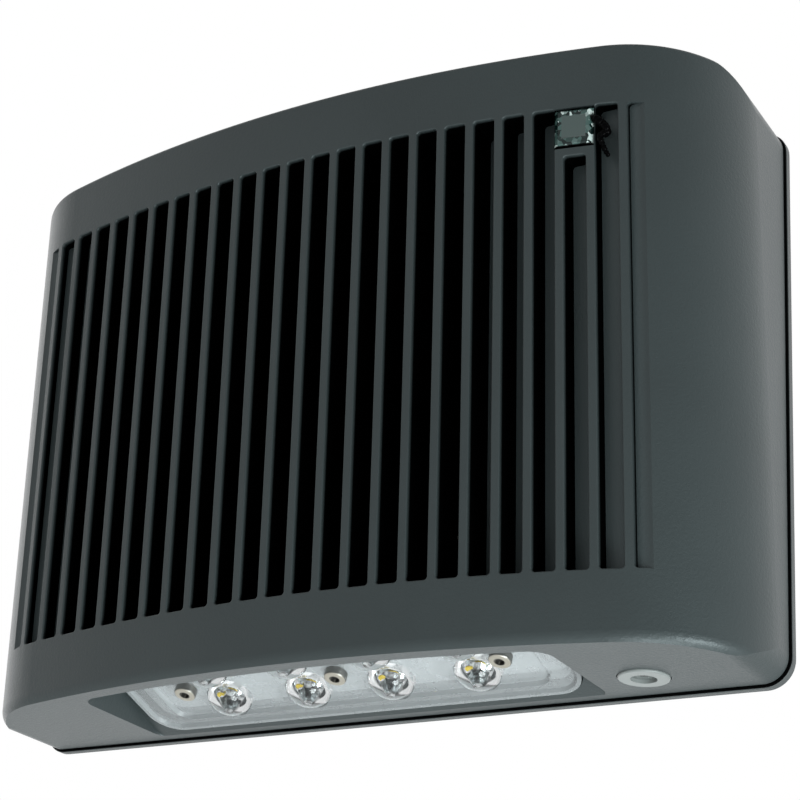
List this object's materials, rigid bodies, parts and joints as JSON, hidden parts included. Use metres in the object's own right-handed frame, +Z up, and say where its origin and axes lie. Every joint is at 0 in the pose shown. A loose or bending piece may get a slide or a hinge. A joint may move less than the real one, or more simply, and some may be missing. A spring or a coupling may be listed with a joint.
{
  "type": "outdoor wall light",
  "caption": "Bow-fronted wall light with a ribbed cast housing, a sunk light optic underneath, a photocell window, a push-to-test button and a flat wall plate.",
  "frame": {"origin": "centre of the wall plate's rear face, on the wall plane", "axes": "+Z up, +Y into the wall, -Y out of the front, +X to the right seen from the front"},
  "size_m": [0.307, 0.091, 0.2084],
  "materials": {
    "powder_coat": "satin fine texture powder coat, dark grey",
    "plate_coat": "satin fine texture powder coat, grey",
    "black_rubber": "matt black silicone",
    "clear_optic": "clear moulded plastic",
    "window_glass": "clear pressed glass",
    "white_board": "white solder mask on aluminium",
    "thermal_grey": "soft grey thermal pad",
    "ceramic_white": "white ceramic",
    "phosphor": "yellow phosphor",
    "stainless": "bright stainless steel",
    "zinc_steel": "zinc plated steel",
    "white_plastic": "white moulded plastic",
    "grey_plastic": "grey moulded plastic",
    "smoke_lens": "translucent grey plastic",
    "black_plastic": "black moulded plastic",
    "sensor_tan": "coated light sensor",
    "gear_case": "white painted steel case",
    "cell_wrap": "shrink wrapped cell",
    "brass": "plain brass",
    "green_zinc": "green dyed zinc",
    "lead_jacket": "black jacket",
    "supply_jacket": "grey jacket"
  },
  "bodies": {
    "light": {"front_housing": "powder_coat", "wall_plate": "plate_coat", "plate_gasket": "black_rubber", "optic_cover": "clear_optic", "lens_gasket": "black_rubber", "led_board": "white_board", "thermal_pad": "thermal_grey", "led_packages": "ceramic_white", "led_phosphors": "phosphor", "lens_screws": "stainless", "photocell_window": "window_glass", "photocell_seal": "black_rubber", "photocell_sensor": "sensor_tan", "photocell_holder": "black_plastic", "button_bezel": "white_plastic", "bezel_seal": "black_rubber", "bezel_nut": "black_plastic", "switch_body": "black_plastic", "switch_contacts": "brass", "button_spring": "stainless", "housing_screws": "stainless", "screw_seals": "black_rubber", "led_driver": "gear_case", "driver_screws": "zinc_steel", "charger_unit": "gear_case", "charger_screws": "zinc_steel", "battery_cells": "cell_wrap", "battery_cradle": "white_plastic", "cradle_screws": "zinc_steel", "cable_grommet": "black_rubber", "terminal_block": "white_plastic", "terminal_screws": "brass", "ground_screw": "green_zinc", "led_grommet": "black_rubber", "led_lead": "lead_jacket", "battery_lead": "lead_jacket", "switch_lead": "lead_jacket", "photocell_lead": "lead_jacket", "link_lead": "lead_jacket", "supply_leads": "supply_jacket"},
    "button": {"test_button": "grey_plastic", "indicator_lens": "smoke_lens"}
  },
  "joints": [
    {"name": "test_button_press", "type": "slide", "parent": "light", "child": "button", "axis": [0, 0, 1], "range_m": [0, 0.0016], "stiffness_N_per_m": 900, "springref_m": -0.0012, "deforming": ["button_spring"]}
  ]
}
